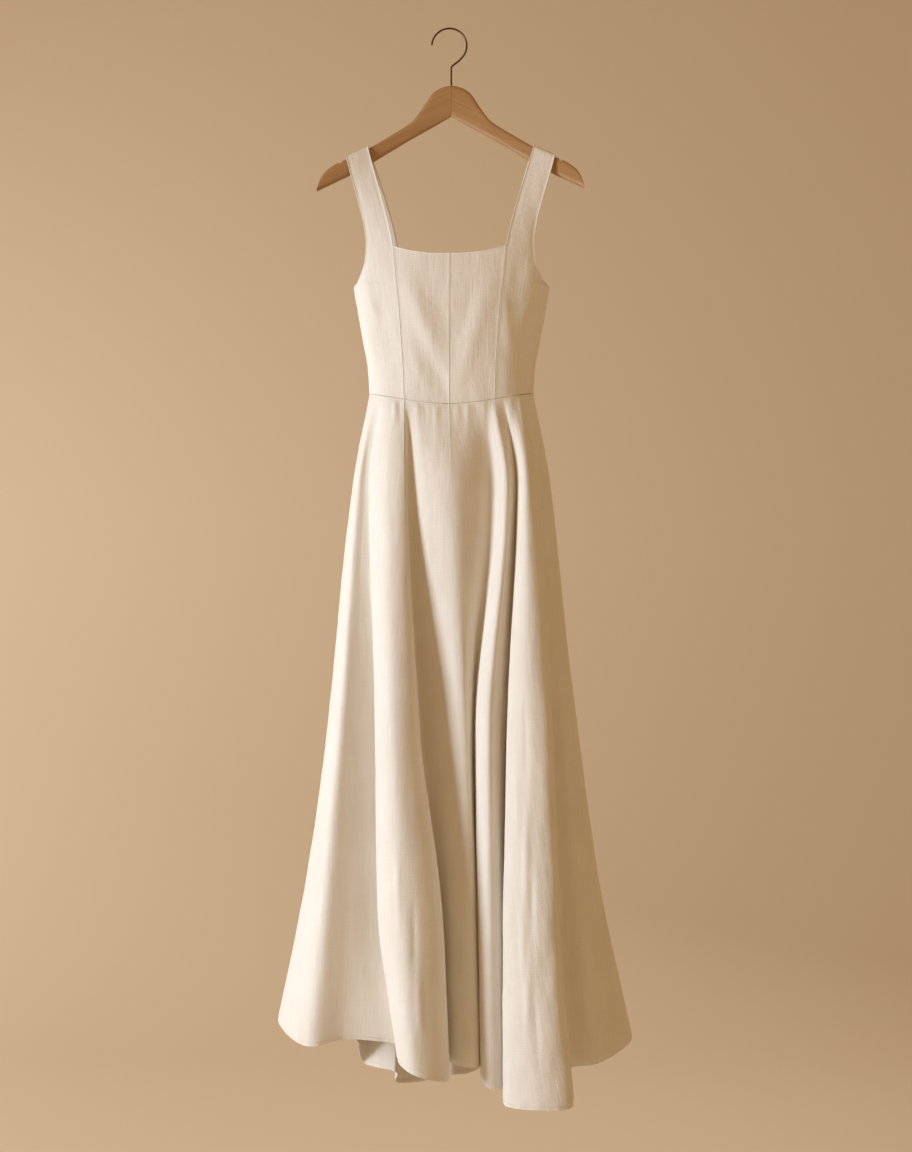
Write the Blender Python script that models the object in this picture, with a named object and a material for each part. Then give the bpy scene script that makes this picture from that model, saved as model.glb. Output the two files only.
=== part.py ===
"""Sleeveless square-necked linen dress with a flared skirt in gores, on a wooden hanger.

Metres, +Z up, the front faces -Y. The origin is the inside top of the hanger's hook.
Every cut piece of cloth is a closed wall of its own, 0.3 mm from its neighbours.
"""
import functools
import math

import bmesh
import bpy
from mathutils import Vector

COLLECTION = "dress_on_hanger"

# Cloth
CLOTH = 0.0012
SEAM_GAP = 0.0003
# Step in a panel's u and v for the slope of its surface
STEP = 0.002
# Edges that bend more than this stay sharp
CLOTH_SHARP_ANGLE = 50
WOOD_SHARP_ANGLE = 40

# The garment and the arms hang 3 mm to the right of the hook's centre
GARMENT_X = 0.003

# Hook: wire radius, radius of its centre line, ends of its round part in degrees
WIRE = 0.0014
HOOK_R = 0.0262
HOOK_TIP = 176
HOOK_END = -48
HOOK_TURN = 12
STEM_TOP = -0.057
# Shares of the way from the round to the stem where the return bend has a point
RETURN_BEND = (0.3, 0.6, 0.85)
# How far that bend leaves the straight line, 0 to 1
RETURN_ROUNDNESS = 0.4

# Hanger arm: half span, wood thickness, how far its tip sweeps forward
ARM_REACH = 0.198
ARM_WOOD = 0.012
ARM_SWEEP = 0.034
ARM_SWEEP_POWER = 1.5
ARM_SQUARENESS = 3.2
ARM_SIDES = 16
ARM_STATIONS = 18
# Power below 1 puts more stations near the tip
ARM_CROWDING = 0.9
# Rows of the arm's outline: x, top edge z, bottom edge z
ARM_OUTLINE = (
    (0.000, -0.0843, -0.1312),
    (0.013, -0.0875, -0.1388),
    (0.027, -0.0958, -0.1470),
    (0.044, -0.1203, -0.1570),
    (0.059, -0.1400, -0.1658),
    (0.074, -0.1510, -0.1750),
    (0.094, -0.1640, -0.1880),
    (0.1205, -0.1807, -0.2053),
    (0.1557, -0.1995, -0.2262),
    (0.167, -0.2052, -0.2322),
    (0.178, -0.2125, -0.2382),
    (0.1864, -0.2200, -0.2426),
    (0.1925, -0.2295, -0.2460),
    (0.196, -0.2388, -0.2478),
    (0.198, -0.2478, -0.2490),
)

# Bodice rows from the waist up: z, half width, front depth, back depth
BODICE_SECTIONS = (
    (-0.5690, 0.1212, 0.0550, 0.0530),
    (-0.5485, 0.1222, 0.0555, 0.0530),
    (-0.5120, 0.1244, 0.0575, 0.0545),
    (-0.4720, 0.1315, 0.0605, 0.0560),
    (-0.4240, 0.1399, 0.0625, 0.0575),
    (-0.3880, 0.1459, 0.0620, 0.0575),
    (-0.3290, 0.1510, 0.0590, 0.0560),
)
BODICE_SQUARENESS = 0.20
# Halvings that find a place on the section to well under a thousandth of a millimetre
HALVINGS = 40
# Rows of the bodice mesh: up to the underarm, up to the neck corner, along the strap, over the arm
CENTRE_COLUMNS = 5
CENTRE_ROWS = 8
SIDE_COLUMNS = 6
SIDE_ROWS = (0, 0.25, 0.5, 0.75, 1, 1.2, 1.4, 1.6, 1.8, 2, 2.15, 2.35, 2.6, 2.8, 3, 3.25, 3.5, 3.75, 4)
# Princess seam rows: z, x
PRINCESS_SEAM = (
    (-0.5690, 0.0665),
    (-0.5120, 0.0680),
    (-0.4720, 0.0705),
    (-0.4240, 0.0738),
    (-0.3800, 0.0785),
    (-0.3345, 0.0828),
)
# Armhole edge rows: z, x
ARMHOLE = (
    (-0.3880, 0.1459),
    (-0.3845, 0.1385),
    (-0.3734, 0.1318),
    (-0.3535, 0.1255),
    (-0.3295, 0.1236),
)
# Half a seam gap as an angle on the section: by its half width at the front and back seams, by
# its depth at the side seam
SEAM_HALF_ANGLE = SEAM_GAP / 2 / 0.12
SIDE_HALF_ANGLE = SEAM_GAP / 2 / 0.06
WAIST_SEAM_X = 0.0665
WAIST_HALF_WIDTH = 0.1215
NECK_HALF_WIDTH = 0.0828
# Height of the princess seam level with the underarm, as a share from waist to neck corner
BUST_SHARE = 0.74
UNDERARM_Z = -0.3880
NECK_CORNER_Z = -0.3345
ARMHOLE_TOP_Z = -0.3295
FRONT_NECK_DROP = 0.0128
BACK_NECK_DROP = 0.0150
NECK_ROUNDNESS = 2.4
WAIST_SIDE_Z = -0.5485
FRONT_WAIST_DROP = 0.0190
BACK_WAIST_DROP = 0.0120
WAIST_ROUNDNESS = 1.6

# Straps where they cross the arms: x of the inner and outer edge, clearance over the wood,
# angle on the arm's section where they touch down
STRAP_INNER = 0.1225
STRAP_OUTER = 0.1546
STRAP_CLEARANCE = 0.0008
STRAP_TOUCH = 38
SHOULDER_HALF_ANGLE = 1.5
# How much of the bodice's own slope the strap keeps as it leaves the neck corner
STRAP_EASE = 0.5
# How far nearer the centre the back strap runs than the front one, and how evenly along its length
BACK_STRAP_SHIFT = 0.004
BACK_STRAP_EVENNESS = 4

# Skirt levels as shares of the drop from waist to hem
LEVELS = (0.0, 0.13, 0.5, 0.78, 1.0)
# Front of the skirt from the left side seam to the right one, a row for each crest, valley
# and fold edge: x at the five levels, how far forward at the last four, hem z
FRONT_FOLDS = (
    ("side_left", (-0.122, -0.146, -0.183, -0.219, -0.262), (0.000, 0.000, 0.000, 0.000), -1.489),
    ("a_crest", (-0.112, -0.135, -0.160, -0.182, -0.202), (0.030, 0.056, 0.076, 0.098), -1.500),
    ("a_slope", (-0.106, -0.127, -0.136, -0.145, -0.150), (0.028, 0.044, 0.060, 0.080), -1.494),
    ("ab_valley", (-0.101, -0.119, -0.108, -0.096, -0.056), (0.030, 0.030, 0.040, 0.078), -1.505),
    ("b_edge", (-0.096, -0.113, -0.107, -0.099, -0.068), (0.052, 0.076, 0.106, 0.150), -1.504),
    ("b_crest", (-0.084, -0.090, -0.078, -0.062, -0.042), (0.076, 0.104, 0.142, 0.184), -1.513),
    ("princess_left", (-0.0665, -0.064, -0.044, -0.010, 0.001), (0.078, 0.090, 0.124, 0.162), -1.527),
    ("bc_valley", (-0.061, -0.060, -0.046, -0.014, -0.002), (0.066, 0.040, 0.057, 0.092), -1.520),
    ("c_left", (-0.052, -0.032, -0.012, 0.005, 0.013), (0.079, 0.058, 0.079, 0.112), -1.520),
    ("centre_front", (0.000, 0.006, 0.023, 0.033, 0.040), (0.086, 0.071, 0.088, 0.119), -1.521),
    ("cd_slope", (0.030, 0.036, 0.0315, 0.0395, 0.0455), (0.075, 0.059, 0.078, 0.108), -1.522),
    ("cd_valley", (0.054, 0.061, 0.0355, 0.0415, 0.0475), (0.060, 0.043, 0.059, 0.092), -1.526),
    ("d_left", (0.060, 0.073, 0.042, 0.045, 0.050), (0.070, 0.074, 0.090, 0.120), -1.541),
    ("d_crest", (0.064, 0.085, 0.059, 0.060, 0.062), (0.080, 0.092, 0.106, 0.138), -1.545),
    ("princess_right", (0.0665, 0.089, 0.069, 0.070, 0.072), (0.073, 0.080, 0.100, 0.134), -1.547),
    ("de_valley", (0.078, 0.100, 0.087, 0.082, 0.083), (0.058, 0.056, 0.084, 0.118), -1.550),
    ("e_left", (0.083, 0.101, 0.086, 0.082, 0.082), (0.070, 0.088, 0.130, 0.176), -1.555),
    ("e_crest", (0.094, 0.112, 0.115, 0.118, 0.125), (0.084, 0.110, 0.154, 0.204), -1.552),
    ("e_right", (0.107, 0.128, 0.147, 0.156, 0.174), (0.072, 0.104, 0.150, 0.198), -1.550),
    ("f_valley", (0.112, 0.130, 0.147, 0.157, 0.172), (0.044, 0.046, 0.060, 0.086), -1.531),
    ("f_crest", (0.117, 0.137, 0.168, 0.192, 0.215), (0.028, 0.040, 0.058, 0.084), -1.523),
    ("side_right", (0.122, 0.146, 0.185, 0.224, 0.271), (0.000, 0.000, 0.000, 0.000), -1.510),
)
# Back of the skirt from the right side seam to the left one, in the same columns
BACK_FOLDS = (
    ("p_crest", (0.112, 0.131, 0.168, 0.197, 0.233), (0.028, 0.044, 0.060, 0.084), -1.530),
    ("p_valley", (0.096, 0.110, 0.139, 0.160, 0.188), (0.036, 0.044, 0.054, 0.070), -1.541),
    ("q_crest", (0.081, 0.095, 0.118, 0.138, 0.158), (0.056, 0.078, 0.104, 0.142), -1.548),
    ("princess_back_right", (0.066, 0.075, 0.094, 0.107, 0.121), (0.052, 0.060, 0.076, 0.098), -1.560),
    ("r_crest", (0.046, 0.056, 0.071, 0.080, 0.088), (0.070, 0.094, 0.124, 0.158), -1.576),
    ("r_slope", (0.022, 0.026, 0.030, 0.030, 0.026), (0.066, 0.080, 0.100, 0.124), -1.602),
    ("centre_back", (0.000, 0.000, 0.000, -0.001, -0.004), (0.060, 0.064, 0.074, 0.090), -1.596),
    ("s_crest", (-0.026, -0.034, -0.044, -0.050, -0.052), (0.070, 0.090, 0.114, 0.138), -1.622),
    ("s_edge", (-0.050, -0.058, -0.072, -0.082, -0.091), (0.066, 0.080, 0.098, 0.118), -1.618),
    ("princess_back_left", (-0.066, -0.070, -0.078, -0.084, -0.090), (0.050, 0.052, 0.060, 0.074), -1.588),
    ("t_crest", (-0.083, -0.094, -0.112, -0.128, -0.143), (0.056, 0.074, 0.096, 0.118), -1.588),
    ("t_valley", (-0.097, -0.110, -0.134, -0.148, -0.156), (0.036, 0.040, 0.046, 0.056), -1.528),
    ("u_crest", (-0.112, -0.131, -0.167, -0.193, -0.222), (0.028, 0.044, 0.058, 0.078), -1.506),
)
# Share of the drop over which the round waist turns into the folds' own curve
WAIST_FADE = 0.1
SKIRT_ROWS = 14
# Power above 1 puts more rows near the waist, where the folds begin
ROW_CROWDING = 1.25
COLUMNS_PER_FOLD = 3

# Gores: name, the seams that bound it, going round from the left side seam over the front
GORES = (
    ("skirt_front_side_left", "side_left", "princess_left"),
    ("skirt_front_centre_left", "princess_left", "centre_front"),
    ("skirt_front_centre_right", "centre_front", "princess_right"),
    ("skirt_front_side_right", "princess_right", "side_right"),
    ("skirt_back_side_right", "side_right", "princess_back_right"),
    ("skirt_back_centre_right", "princess_back_right", "centre_back"),
    ("skirt_back_centre_left", "centre_back", "princess_back_left"),
    ("skirt_back_side_left", "princess_back_left", "side_left"),
)

# Materials: colour, roughness, metallic
LINEN = ("linen", (0.86, 0.80, 0.70), 0.92, 0.0)
WOOD = ("hanger_wood", (0.62, 0.42, 0.24), 0.45, 0.0)
STEEL = ("hook_steel", (0.23, 0.17, 0.12), 0.35, 1.0)


def clear_scene():
    for item in list(bpy.data.objects):
        bpy.data.objects.remove(item, do_unlink=True)


def material_for(node, look):
    name, colour, roughness, metallic = look
    material = bpy.data.materials.new(f"{name}_{node}")
    material.use_nodes = True
    shader = material.node_tree.nodes["Principled BSDF"]
    shader.inputs["Base Color"].default_value = (*colour, 1.0)
    shader.inputs["Roughness"].default_value = roughness
    shader.inputs["Metallic"].default_value = metallic
    return material


def add_object(name, data, look, collection, parent=None):
    item = bpy.data.objects.new(name, data)
    item.data.materials.append(material_for(name, look))
    item.parent = parent
    collection.objects.link(item)
    return item


def smooth_value(rows, column, where):
    """Value of a table's column at `where`, on a smooth curve through the rows (column 0 rises or falls)."""
    if rows[0][0] > rows[-1][0]:
        rows = rows[::-1]
    keys = [row[0] for row in rows]
    values = [row[column] for row in rows]
    where = min(max(where, keys[0]), keys[-1])
    last = len(keys) - 1
    here = min(max(i for i in range(last + 1) if keys[i] <= where), last - 1)
    slopes = [(values[i + 1] - values[i]) / (keys[i + 1] - keys[i]) for i in range(last)]

    def tangent(i):
        if i == 0:
            return slopes[0]
        if i == last:
            return slopes[-1]
        if slopes[i - 1] * slopes[i] <= 0:
            return 0.0
        return 2 * slopes[i - 1] * slopes[i] / (slopes[i - 1] + slopes[i])

    span = keys[here + 1] - keys[here]
    f = (where - keys[here]) / span
    rise = f * f * (3 - 2 * f)
    return (
        values[here] * (1 - rise)
        + values[here + 1] * rise
        + tangent(here) * span * f * (1 - f) ** 2
        - tangent(here + 1) * span * f * f * (1 - f)
    )


def mix(a, b, share):
    return a + (b - a) * share


def wall_mesh(name, surface, columns, rows, outward):
    """Closed wall of cloth: surface(u, v) gives its outer face, `outward` is +1 or -1 for u x v."""
    outer = []
    inner = []
    for v in rows:
        for u in columns:
            point = surface(u, v)
            along_u = surface(u + STEP, v) - surface(u - STEP, v)
            along_v = surface(u, min(v + STEP, rows[-1])) - surface(u, max(v - STEP, rows[0]))
            normal = along_u.cross(along_v).normalized() * outward
            outer.append(point)
            inner.append(point - normal * CLOTH)
    mesh = bmesh.new()
    outer = [mesh.verts.new(point) for point in outer]
    inner = [mesh.verts.new(point) for point in inner]
    wide = len(columns)

    def face(corners, flip):
        mesh.faces.new(corners[::-1] if flip else corners)

    for j in range(len(rows) - 1):
        for i in range(wide - 1):
            a, b, c, d = j * wide + i, j * wide + i + 1, (j + 1) * wide + i + 1, (j + 1) * wide + i
            face([outer[a], outer[b], outer[c], outer[d]], outward < 0)
            face([inner[a], inner[d], inner[c], inner[b]], outward < 0)
    border = list(range(wide))
    border += [j * wide + wide - 1 for j in range(1, len(rows))]
    border += [(len(rows) - 1) * wide + i for i in range(wide - 2, -1, -1)]
    border += [j * wide for j in range(len(rows) - 2, 0, -1)]
    for here, there in zip(border, border[1:] + border[:1]):
        face([outer[there], outer[here], inner[here], inner[there]], outward < 0)
    data = bpy.data.meshes.new(name)
    mesh.to_mesh(data)
    mesh.free()
    data.shade_smooth()
    data.set_sharp_from_angle(angle=math.radians(CLOTH_SHARP_ANGLE))
    return data


def evenly(count):
    return [i / count for i in range(count + 1)]


# Hanger

def arm_section(x):
    """Centre y, centre z and half height of the arm at distance x from the centre line."""
    top = smooth_value(ARM_OUTLINE, 1, x)
    bottom = smooth_value(ARM_OUTLINE, 2, x)
    sweep = -ARM_SWEEP * (x / ARM_REACH) ** ARM_SWEEP_POWER
    return sweep, (top + bottom) / 2, (top - bottom) / 2


def arm_point(x, angle, grown=0.0):
    """Point on the arm's rounded section; angle 0 is its back face, 90 its top, 180 its front."""
    y, z, half_height = arm_section(x)
    c, s = math.cos(math.radians(angle)), math.sin(math.radians(angle))
    power = 2 / ARM_SQUARENESS
    across = math.copysign(abs(c) ** power, c) * (ARM_WOOD / 2 + grown)
    up = math.copysign(abs(s) ** power, s) * (half_height + grown)
    return Vector((x, y + across, z + up))


def arm_mesh(name, side):
    mesh = bmesh.new()
    rings = []
    for station in range(ARM_STATIONS + 1):
        share = station / ARM_STATIONS
        x = mix(SEAM_GAP / 2, ARM_REACH, share ** ARM_CROWDING)
        ring = []
        for k in range(ARM_SIDES):
            point = arm_point(x, 360 * (k + 0.5) / ARM_SIDES)
            ring.append(mesh.verts.new((point.x * side, point.y, point.z)))
        rings.append(ring)
    for inner, outer in zip(rings, rings[1:]):
        for k in range(ARM_SIDES):
            n = (k + 1) % ARM_SIDES
            mesh.faces.new((inner[k], inner[n], outer[n], outer[k]))
    mesh.faces.new(rings[0])
    mesh.faces.new(rings[-1])
    bmesh.ops.recalc_face_normals(mesh, faces=mesh.faces)
    data = bpy.data.meshes.new(name)
    mesh.to_mesh(data)
    mesh.free()
    data.shade_smooth()
    data.set_sharp_from_angle(angle=math.radians(WOOD_SHARP_ANGLE))
    return data


def hook_curve(name):
    """Bent wire: round hook, a short return bend and the straight stem down to the arms."""
    centre_z = WIRE - HOOK_R
    points = []
    for k in range((HOOK_TIP - HOOK_END) // HOOK_TURN + 1):
        angle = math.radians(HOOK_TIP - k * HOOK_TURN)
        points.append((HOOK_R * math.cos(angle), centre_z + HOOK_R * math.sin(angle)))
    end_x, end_z = points[-1]
    stem_x = GARMENT_X
    for share in RETURN_BEND:
        bend = share * share * (3 - 2 * share)
        points.append((mix(end_x, stem_x, mix(share, bend, RETURN_ROUNDNESS)), mix(end_z, STEM_TOP, share)))
    stem_foot = ARM_OUTLINE[0][1] + SEAM_GAP
    points += [(stem_x, STEM_TOP), (stem_x, mix(STEM_TOP, stem_foot, 0.5)), (stem_x, stem_foot)]
    data = bpy.data.curves.new(name, "CURVE")
    data.dimensions = "3D"
    data.bevel_depth = WIRE
    data.bevel_resolution = 2
    data.use_fill_caps = True
    wire = data.splines.new("POLY")
    wire.points.add(len(points) - 1)
    for spot, (x, z) in zip(wire.points, points):
        spot.co = (x, 0.0, z, 1.0)
    return data


# Bodice

def body_point(angle, z, back):
    """Point on the bodice's round section; angle 0 is the right side seam, pi / 2 the centre."""
    half_width = smooth_value(BODICE_SECTIONS, 1, z)
    depth = smooth_value(BODICE_SECTIONS, 3 if back else 2, z)
    c, s = math.cos(angle), math.sin(angle)
    x = half_width * c * (1 + BODICE_SQUARENESS * s * s)
    y = depth * s * (1 + BODICE_SQUARENESS * c * c)
    return Vector((x, y if back else -y, z))


def body_angle(x, z):
    """Angle at which the section at height z reaches x, found by halving."""
    half_width = smooth_value(BODICE_SECTIONS, 1, z)
    low, high = 0.0, math.pi / 2
    for _ in range(HALVINGS):
        middle = (low + high) / 2
        reach = half_width * math.cos(middle) * (1 + BODICE_SQUARENESS * math.sin(middle) ** 2)
        low, high = (middle, high) if reach > x else (low, middle)
    return (low + high) / 2


def waist_z(x, back):
    drop = BACK_WAIST_DROP if back else FRONT_WAIST_DROP
    share = min(abs(x) / WAIST_HALF_WIDTH, 1.0)
    return WAIST_SIDE_Z - drop * (1 - share ** WAIST_ROUNDNESS)


def neck_z(x, back):
    drop = BACK_NECK_DROP if back else FRONT_NECK_DROP
    share = min(abs(x) / NECK_HALF_WIDTH, 1.0)
    return NECK_CORNER_Z - drop * (1 - share ** NECK_ROUNDNESS)


def princess_x(z):
    return smooth_value(PRINCESS_SEAM, 1, z)


def at_waist(angle, back, lift):
    """Point of the waist line at this angle, `lift` above it."""
    x = body_point(angle, WAIST_SIDE_Z, back).x
    return body_point(angle, waist_z(x, back) + lift, back)


def centre_surface(back):
    """Right centre panel: u from the centre seam to the princess seam, v from waist to neckline."""
    def surface(u, v):
        low_z = WAIST_SIDE_Z
        x_high = princess_x(NECK_CORNER_Z) * u
        middle = math.pi / 2 - SEAM_HALF_ANGLE
        waist_angle = mix(middle, body_angle(WAIST_SEAM_X, low_z) + SEAM_HALF_ANGLE, u)
        low = at_waist(waist_angle, back, SEAM_GAP / 2).z
        z = mix(low, neck_z(x_high, back), v)
        seam = body_angle(princess_x(z), z) if v > 0 else body_angle(WAIST_SEAM_X, low_z)
        return body_point(mix(middle, seam + SEAM_HALF_ANGLE, u), z, back)
    return surface


def side_surface(back):
    """Right side panel and strap: u from the princess seam to the side seam.

    v is 0 to 1 up to the underarm, 1 to 2 up to the neck corner, 2 to 3 along the strap
    to the arm, and 3 to 4 over the arm to the shoulder seam on its top.
    """
    touch = STRAP_TOUCH if back else 180 - STRAP_TOUCH
    shoulder = 90 - SHOULDER_HALF_ANGLE if back else 90 + SHOULDER_HALF_ANGLE
    bust_z = mix(WAIST_SIDE_Z, NECK_CORNER_Z, BUST_SHARE)

    def on_body(u, v):
        low_in = body_angle(WAIST_SEAM_X, WAIST_SIDE_Z) - SEAM_HALF_ANGLE
        if v <= 1:
            low = at_waist(mix(low_in, SIDE_HALF_ANGLE, u), back, SEAM_GAP / 2).z
            z = mix(low, mix(bust_z, UNDERARM_Z, u), v)
            z_in = mix(at_waist(low_in, back, SEAM_GAP / 2).z, bust_z, v)
            z_out = UNDERARM_Z
        else:
            z_in = mix(bust_z, NECK_CORNER_Z, v - 1)
            z_out = mix(UNDERARM_Z, ARMHOLE_TOP_Z, v - 1)
            z = mix(z_in, z_out, u)
        inner = body_angle(princess_x(z_in), z_in) - SEAM_HALF_ANGLE if v > 0 else low_in
        edge = body_angle(smooth_value(ARMHOLE, 1, z_out), z_out) if v > 1 else 0.0
        return body_point(mix(inner, max(edge, SIDE_HALF_ANGLE), u), z, back)

    def surface(u, v):
        if v <= 2:
            return on_body(u, v)
        x = mix(STRAP_INNER, STRAP_OUTER, u)
        grown = STRAP_CLEARANCE + CLOTH
        if v >= 3:
            return arm_point(x, mix(touch, shoulder, v - 3), grown)
        start = on_body(u, 2)
        end = arm_point(x, touch, grown)
        run = end - start
        rise = (start - on_body(u, 2 - STEP)).normalized() * run.length
        f = v - 2
        point = start + run * f + (rise - run) * (STRAP_EASE * f * (1 - f) ** 2)
        if back:
            point.x -= BACK_STRAP_SHIFT * (1 - (2 * f - 1) ** BACK_STRAP_EVENNESS)
        return point
    return surface


def mirrored(surface):
    def flipped(u, v):
        point = surface(u, v)
        return Vector((-point.x, point.y, point.z))
    return flipped


def bodice_panels(collection, parent):
    for place, back in (("front", False), ("back", True)):
        centre = centre_surface(back)
        side = side_surface(back)
        outward = 1 if back else -1
        for hand, turn in (("right", 1), ("left", -1)):
            facing = -outward * turn
            for part, surface, columns, rows in (
                ("centre", centre, evenly(CENTRE_COLUMNS), evenly(CENTRE_ROWS)),
                ("side", side, evenly(SIDE_COLUMNS), SIDE_ROWS),
            ):
                placed = surface if hand == "right" else mirrored(surface)
                name = f"bodice_{place}_{part}_{hand}"
                data = wall_mesh(name, placed, columns, rows, facing)
                add_object(name, data, LINEN, collection, parent)


# Skirt

RING = FRONT_FOLDS + BACK_FOLDS
SEAM_AT = {row[0]: index for index, row in enumerate(RING)}
FRONT_LAST = len(FRONT_FOLDS) - 1


def level_value(values, t):
    return smooth_value(tuple(zip(LEVELS, values)), 1, t)


def waist_angle(index):
    """Angle of a fold's row on the round waist, 0 at the right side seam, pi at the left one."""
    name, across, _, _ = RING[index % len(RING)]
    if name == "side_right":
        return 0.0
    if name == "side_left":
        return math.pi
    angle = body_angle(abs(across[0]), WAIST_SIDE_Z)
    return angle if across[0] > 0 else math.pi - angle


def waist_point(s):
    """Point of the skirt's top edge, under the bodice's, at ring position s."""
    here = math.floor(s)
    back = s % len(RING) > FRONT_LAST
    angle = mix(waist_angle(here), waist_angle(here + 1), s - here)
    return at_waist(angle, back, -SEAM_GAP / 2)


@functools.lru_cache(maxsize=4096)
def station(index, t):
    """Where a fold's row stands at share t of the drop from waist to hem."""
    _, across, forward, hem = RING[index]
    top = waist_point(index)
    x = level_value((top.x,) + across[1:], t)
    y = level_value((abs(top.y),) + forward, t)
    return Vector((x, y if index > FRONT_LAST else -y, mix(top.z, hem, t)))


def spline_point(a, b, c, d, f):
    """Centripetal Catmull-Rom curve from b to c."""
    knots = [0.0]
    for p, q in ((a, b), (b, c), (c, d)):
        knots.append(knots[-1] + max((q - p).length, 1e-6) ** 0.5)
    t0, t1, t2, t3 = knots
    t = mix(t1, t2, f)
    ab = a * ((t1 - t) / (t1 - t0)) + b * ((t - t0) / (t1 - t0))
    bc = b * ((t2 - t) / (t2 - t1)) + c * ((t - t1) / (t2 - t1))
    cd = c * ((t3 - t) / (t3 - t2)) + d * ((t - t2) / (t3 - t2))
    abc = ab * ((t2 - t) / (t2 - t0)) + bc * ((t - t0) / (t2 - t0))
    bcd = bc * ((t3 - t) / (t3 - t1)) + cd * ((t - t1) / (t3 - t1))
    return abc * ((t2 - t) / (t2 - t1)) + bcd * ((t - t1) / (t2 - t1))


def skirt_point(s, t):
    """Outer face of the skirt: s counts fold rows round the ring, t is 0 at the waist, 1 at the hem."""
    here = math.floor(s)
    corners = [(here + k) % len(RING) for k in (-1, 0, 1, 2)]
    point = spline_point(*(station(index, t) for index in corners), s - here)
    fade = max(0.0, 1 - t / WAIST_FADE)
    if fade > 0:
        smooth = spline_point(*(station(index, 0.0) for index in corners), s - here)
        point = point + (waist_point(s) - smooth) * fade
    return point


def gore_surface(first, last):
    """u from 0 to 1 between two seams, kept half a seam gap inside each."""
    def surface(u, v):
        t = v ** ROW_CROWDING
        near = (skirt_point(first + STEP, t) - skirt_point(first, t)).length / STEP
        far = (skirt_point(last, t) - skirt_point(last - STEP, t)).length / STEP
        start = first + SEAM_GAP / 2 / near
        end = last - SEAM_GAP / 2 / far
        return skirt_point(mix(start, end, u), t)
    return surface


def skirt_gores(collection, parent):
    for name, seam_a, seam_b in GORES:
        first = SEAM_AT[seam_a]
        last = SEAM_AT[seam_b]
        if last <= first:
            last += len(RING)
        columns = evenly((last - first) * COLUMNS_PER_FOLD)
        data = wall_mesh(name, gore_surface(first, last), columns, evenly(SKIRT_ROWS), -1)
        add_object(name, data, LINEN, collection, parent)


def build():
    clear_scene()
    collection = bpy.data.collections.new(COLLECTION)
    bpy.context.scene.collection.children.link(collection)
    centre = bpy.data.objects.new("garment_centre", None)
    centre.location = (GARMENT_X, 0.0, 0.0)
    collection.objects.link(centre)
    add_object("hanger_hook", hook_curve("hanger_hook"), STEEL, collection)
    for hand, side in (("right", 1), ("left", -1)):
        name = f"hanger_arm_{hand}"
        add_object(name, arm_mesh(name, side), WOOD, collection, centre)
    bodice_panels(collection, centre)
    skirt_gores(collection, centre)


build()
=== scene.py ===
"""Looks of the linen dress on its wooden hanger: fine cloth shells, seams, hem, wood and wire.

Metres, +Z up, the front faces -Y, the origin is the inside top of the hook. The shells follow
the same sections and fold rows as the part, with the cloth's finer form laid on them.
"""
import math

import bmesh
import bpy
import numpy as np
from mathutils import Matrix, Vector


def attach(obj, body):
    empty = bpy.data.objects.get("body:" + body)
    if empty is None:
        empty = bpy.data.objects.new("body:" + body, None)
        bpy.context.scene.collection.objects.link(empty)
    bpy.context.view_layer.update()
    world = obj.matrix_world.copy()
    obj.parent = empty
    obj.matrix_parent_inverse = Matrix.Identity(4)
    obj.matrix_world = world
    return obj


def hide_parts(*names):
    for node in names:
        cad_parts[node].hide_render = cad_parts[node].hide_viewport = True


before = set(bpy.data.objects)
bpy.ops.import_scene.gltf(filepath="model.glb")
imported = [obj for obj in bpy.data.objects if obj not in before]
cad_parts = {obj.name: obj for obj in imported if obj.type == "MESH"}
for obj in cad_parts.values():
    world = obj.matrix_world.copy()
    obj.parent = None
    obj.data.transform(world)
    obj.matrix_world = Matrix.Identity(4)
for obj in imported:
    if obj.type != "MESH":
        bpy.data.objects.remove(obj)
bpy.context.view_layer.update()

# Cloth shell, the solids' own wall, the gap at seams, and the shared centre line of garment and hanger
CLOTH = 0.0008
CAD_CLOTH = 0.0012
SEAM_GAP = 0.0003
GARMENT_X = 0.003

# Meshing: grid spacing, the finer steps along edges, the points that a panel is first drawn with,
# and the length that a gore's rows are spaced for
GRID = 0.0042
EDGE_STEPS = (0.0, 0.0006, 0.0014, 0.0026)
FEWEST_STEPS = 4
PANEL_SAMPLES = 160
ROW_SAMPLES = 400
SPAN_SAMPLES = 48
GORE_LENGTH = 0.98
# Steps of the search for an angle, and the least chord and area that are divided by
HALVINGS = 34
LEAST_CHORD = 1e-6
LEAST_AREA = 1e-12

# The photograph's view
PHOTO_HEIGHT = 1152
METRES_PER_PIXEL = 0.0015
CAMERA_DISTANCE = 2.4
CAMERA_AZIMUTH = math.radians(2.5)
CAMERA_CENTRE = Vector((0.010, 0.0, -0.820))
SENSOR_HEIGHT = 36

# Stage: floor height, how far it reaches, the wall behind and the round cove between them
FLOOR_Z = -2.4
FLOOR_REACH = 6.0
WALL_Y = 4.6
WALL_HEIGHT = 5.5
COVE = 1.8
COVE_ANGLES = (0.1, math.pi / 2, 14)

# Hanger arm: half span, wood thickness, how far its tip sweeps forward and how late, how square its
# section is, and the angle in degrees above which its edges stay sharp
ARM_REACH = 0.198
ARM_WOOD = 0.012
ARM_SWEEP = 0.034
ARM_SWEEP_POWER = 1.5
ARM_SQUARENESS = 3.2
ARM_SIDES = 48
ARM_SHARP_ANGLE = 35
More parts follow.
